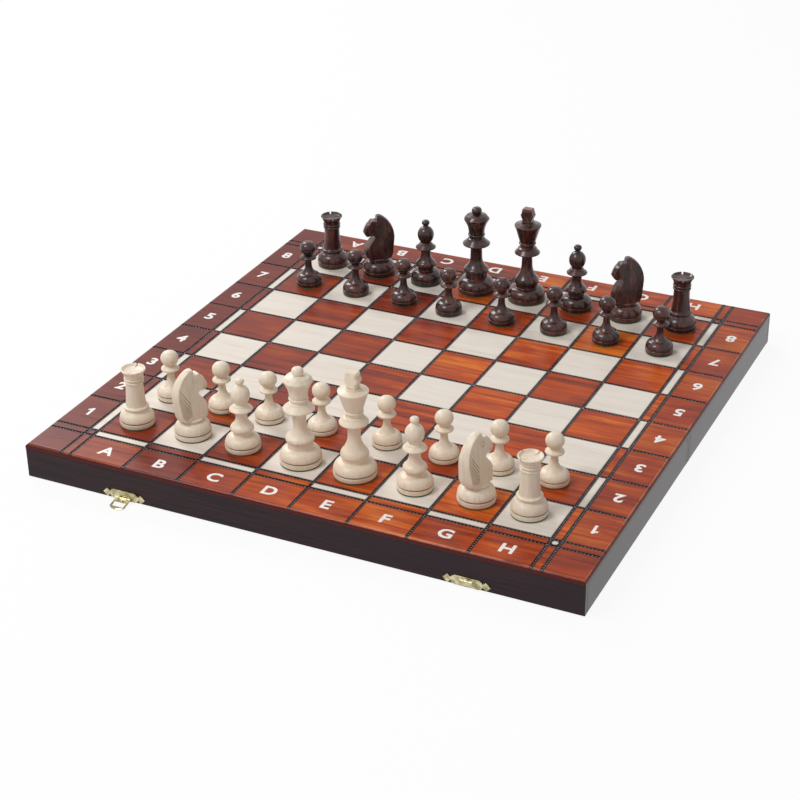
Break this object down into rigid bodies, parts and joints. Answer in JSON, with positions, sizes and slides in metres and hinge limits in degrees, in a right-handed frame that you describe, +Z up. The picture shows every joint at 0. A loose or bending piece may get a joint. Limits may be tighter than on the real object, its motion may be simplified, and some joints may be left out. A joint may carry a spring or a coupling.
{
  "type": "folding chess and backgammon case",
  "caption": "Folding wooden chess case, open with its chessmen set out; its hinged halves close into a box with a backgammon field inside, held by brass hasps.",
  "frame": {"origin": "middle of the open board at the level of the table", "axes": "+X along the files from A to H, +Y from the first rank to the eighth, +Z up"},
  "size_m": [0.535, 0.5672, 0.1367],
  "materials": {
    "stained_panel": "stained, satin",
    "lacquered_wall": "gloss lacquer",
    "backgammon_field": "satin",
    "brass": "polished",
    "light_wood": "satin lacquer",
    "dark_wood": "gloss lacquer"
  },
  "bodies": {
    "front_half": {"front_chess_panel": "stained_panel", "front_outer_wall": "lacquered_wall", "front_fold_wall": "lacquered_wall", "front_left_wall": "lacquered_wall", "front_right_wall": "lacquered_wall", "front_backgammon_board": "backgammon_field", "front_nails": "brass", "front_hasp_plate": "brass", "front_hasp_pin": "brass", "front_catch_plate": "brass", "left_hinge_front_leaf": "brass", "right_hinge_front_leaf": "brass", "hinge_pins": "brass"},
    "rear_half": {"rear_chess_panel": "stained_panel", "rear_outer_wall": "lacquered_wall", "rear_fold_wall": "lacquered_wall", "rear_left_wall": "lacquered_wall", "rear_right_wall": "lacquered_wall", "rear_backgammon_board": "backgammon_field", "rear_nails": "brass", "rear_hasp_plate": "brass", "rear_hasp_pin": "brass", "rear_catch_plate": "brass", "left_hinge_rear_leaf": "brass", "right_hinge_rear_leaf": "brass"},
    "front_hasp": {"front_hasp": "brass"},
    "rear_hasp": {"rear_hasp": "brass"},
    "light_rook_a": {"light_rook_a": "light_wood"},
    "light_pawn_a": {"light_pawn_a": "light_wood"},
    "light_knight_b": {"light_knight_b": "light_wood"},
    "light_pawn_b": {"light_pawn_b": "light_wood"},
    "light_bishop_c": {"light_bishop_c": "light_wood"},
    "light_pawn_c": {"light_pawn_c": "light_wood"},
    "light_queen": {"light_queen": "light_wood"},
    "light_pawn_d": {"light_pawn_d": "light_wood"},
    "light_king": {"light_king": "light_wood"},
    "light_pawn_e": {"light_pawn_e": "light_wood"},
    "light_bishop_f": {"light_bishop_f": "light_wood"},
    "light_pawn_f": {"light_pawn_f": "light_wood"},
    "light_knight_g": {"light_knight_g": "light_wood"},
    "light_pawn_g": {"light_pawn_g": "light_wood"},
    "light_rook_h": {"light_rook_h": "light_wood"},
    "light_pawn_h": {"light_pawn_h": "light_wood"},
    "dark_rook_a": {"dark_rook_a": "dark_wood"},
    "dark_pawn_a": {"dark_pawn_a": "dark_wood"},
    "dark_knight_b": {"dark_knight_b": "dark_wood"},
    "dark_pawn_b": {"dark_pawn_b": "dark_wood"},
    "dark_bishop_c": {"dark_bishop_c": "dark_wood"},
    "dark_pawn_c": {"dark_pawn_c": "dark_wood"},
    "dark_queen": {"dark_queen": "dark_wood"},
    "dark_pawn_d": {"dark_pawn_d": "dark_wood"},
    "dark_king": {"dark_king": "dark_wood"},
    "dark_pawn_e": {"dark_pawn_e": "dark_wood"},
    "dark_bishop_f": {"dark_bishop_f": "dark_wood"},
    "dark_pawn_f": {"dark_pawn_f": "dark_wood"},
    "dark_knight_g": {"dark_knight_g": "dark_wood"},
    "dark_pawn_g": {"dark_pawn_g": "dark_wood"},
    "dark_rook_h": {"dark_rook_h": "dark_wood"},
    "dark_pawn_h": {"dark_pawn_h": "dark_wood"}
  },
  "joints": [
    {"name": "fold", "type": "hinge", "parent": "front_half", "child": "rear_half", "pos_m": [0, 0, 0.0014], "axis": [1, 0, 0], "range_deg": [-180, 0]},
    {"name": "hasp_front", "type": "hinge", "parent": "front_half", "child": "front_hasp", "pos_m": [-0.165, -0.2694, 0.00395], "axis": [-1, 0, 0], "range_deg": [-78, 95]},
    {"name": "hasp_rear", "type": "hinge", "parent": "rear_half", "child": "rear_hasp", "pos_m": [0.165, 0.2694, 0.00395], "axis": [1, 0, 0], "range_deg": [-78, 95]},
    {"name": "lift_light_rook_a", "type": "slide", "parent": "front_half", "child": "light_rook_a", "axis": [0, 0, 1], "range_m": [0, 0.15]},
    {"name": "lift_light_pawn_a", "type": "slide", "parent": "front_half", "child": "light_pawn_a", "axis": [0, 0, 1], "range_m": [0, 0.15]},
    {"name": "lift_light_knight_b", "type": "slide", "parent": "front_half", "child": "light_knight_b", "axis": [0, 0, 1], "range_m": [0, 0.15]},
    {"name": "lift_light_pawn_b", "type": "slide", "parent": "front_half", "child": "light_pawn_b", "axis": [0, 0, 1], "range_m": [0, 0.15]},
    {"name": "lift_light_bishop_c", "type": "slide", "parent": "front_half", "child": "light_bishop_c", "axis": [0, 0, 1], "range_m": [0, 0.15]},
    {"name": "lift_light_pawn_c", "type": "slide", "parent": "front_half", "child": "light_pawn_c", "axis": [0, 0, 1], "range_m": [0, 0.15]},
    {"name": "lift_light_queen", "type": "slide", "parent": "front_half", "child": "light_queen", "axis": [0, 0, 1], "range_m": [0, 0.15]},
    {"name": "lift_light_pawn_d", "type": "slide", "parent": "front_half", "child": "light_pawn_d", "axis": [0, 0, 1], "range_m": [0, 0.15]},
    {"name": "lift_light_king", "type": "slide", "parent": "front_half", "child": "light_king", "axis": [0, 0, 1], "range_m": [0, 0.15]},
    {"name": "lift_light_pawn_e", "type": "slide", "parent": "front_half", "child": "light_pawn_e", "axis": [0, 0, 1], "range_m": [0, 0.15]},
    {"name": "lift_light_bishop_f", "type": "slide", "parent": "front_half", "child": "light_bishop_f", "axis": [0, 0, 1], "range_m": [0, 0.15]},
    {"name": "lift_light_pawn_f", "type": "slide", "parent": "front_half", "child": "light_pawn_f", "axis": [0, 0, 1], "range_m": [0, 0.15]},
    {"name": "lift_light_knight_g", "type": "slide", "parent": "front_half", "child": "light_knight_g", "axis": [0, 0, 1], "range_m": [0, 0.15]},
    {"name": "lift_light_pawn_g", "type": "slide", "parent": "front_half", "child": "light_pawn_g", "axis": [0, 0, 1], "range_m": [0, 0.15]},
    {"name": "lift_light_rook_h", "type": "slide", "parent": "front_half", "child": "light_rook_h", "axis": [0, 0, 1], "range_m": [0, 0.15]},
    {"name": "lift_light_pawn_h", "type": "slide", "parent": "front_half", "child": "light_pawn_h", "axis": [0, 0, 1], "range_m": [0, 0.15]},
    {"name": "lift_dark_rook_a", "type": "slide", "parent": "rear_half", "child": "dark_rook_a", "axis": [0, 0, 1], "range_m": [0, 0.15]},
    {"name": "lift_dark_pawn_a", "type": "slide", "parent": "rear_half", "child": "dark_pawn_a", "axis": [0, 0, 1], "range_m": [0, 0.15]},
    {"name": "lift_dark_knight_b", "type": "slide", "parent": "rear_half", "child": "dark_knight_b", "axis": [0, 0, 1], "range_m": [0, 0.15]},
    {"name": "lift_dark_pawn_b", "type": "slide", "parent": "rear_half", "child": "dark_pawn_b", "axis": [0, 0, 1], "range_m": [0, 0.15]},
    {"name": "lift_dark_bishop_c", "type": "slide", "parent": "rear_half", "child": "dark_bishop_c", "axis": [0, 0, 1], "range_m": [0, 0.15]},
    {"name": "lift_dark_pawn_c", "type": "slide", "parent": "rear_half", "child": "dark_pawn_c", "axis": [0, 0, 1], "range_m": [0, 0.15]},
    {"name": "lift_dark_queen", "type": "slide", "parent": "rear_half", "child": "dark_queen", "axis": [0, 0, 1], "range_m": [0, 0.15]},
    {"name": "lift_dark_pawn_d", "type": "slide", "parent": "rear_half", "child": "dark_pawn_d", "axis": [0, 0, 1], "range_m": [0, 0.15]},
    {"name": "lift_dark_king", "type": "slide", "parent": "rear_half", "child": "dark_king", "axis": [0, 0, 1], "range_m": [0, 0.15]},
    {"name": "lift_dark_pawn_e", "type": "slide", "parent": "rear_half", "child": "dark_pawn_e", "axis": [0, 0, 1], "range_m": [0, 0.15]},
    {"name": "lift_dark_bishop_f", "type": "slide", "parent": "rear_half", "child": "dark_bishop_f", "axis": [0, 0, 1], "range_m": [0, 0.15]},
    {"name": "lift_dark_pawn_f", "type": "slide", "parent": "rear_half", "child": "dark_pawn_f", "axis": [0, 0, 1], "range_m": [0, 0.15]},
    {"name": "lift_dark_knight_g", "type": "slide", "parent": "rear_half", "child": "dark_knight_g", "axis": [0, 0, 1], "range_m": [0, 0.15]},
    {"name": "lift_dark_pawn_g", "type": "slide", "parent": "rear_half", "child": "dark_pawn_g", "axis": [0, 0, 1], "range_m": [0, 0.15]},
    {"name": "lift_dark_rook_h", "type": "slide", "parent": "rear_half", "child": "dark_rook_h", "axis": [0, 0, 1], "range_m": [0, 0.15]},
    {"name": "lift_dark_pawn_h", "type": "slide", "parent": "rear_half", "child": "dark_pawn_h", "axis": [0, 0, 1], "range_m": [0, 0.15]}
  ]
}
